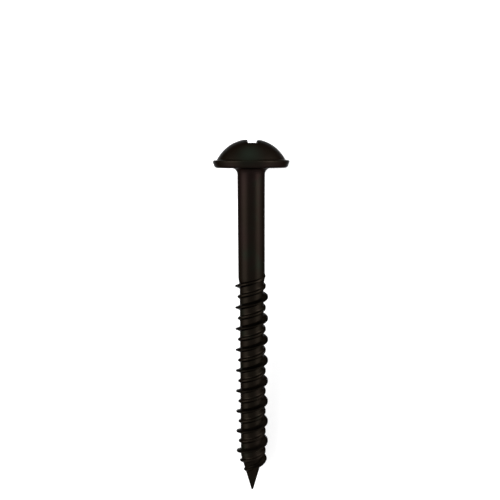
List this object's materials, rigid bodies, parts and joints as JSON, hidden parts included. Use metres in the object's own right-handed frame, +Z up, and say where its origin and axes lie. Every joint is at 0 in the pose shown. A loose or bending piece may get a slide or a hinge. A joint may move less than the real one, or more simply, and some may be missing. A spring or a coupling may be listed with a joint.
{
  "type": "washer head screw",
  "caption": "Black wood screw with a domed washer head and cross recess, smooth shank, high and low thread and gimlet point.",
  "frame": {"origin": "centre of the bearing face under the head, on the screw's axis", "axes": "the screw lies as it rests: +Y runs along it towards the head, the point is at -Y and 3.8 degrees lower, +Z is up and +X is to the right with the head away from the viewer"},
  "size_m": [0.009, 0.0445, 0.0089],
  "materials": {
    "blackened_steel": "black oxide, satin, faintly oily"
  },
  "bodies": {
    "root": {"screw": "blackened_steel"}
  },
  "joints": []
}
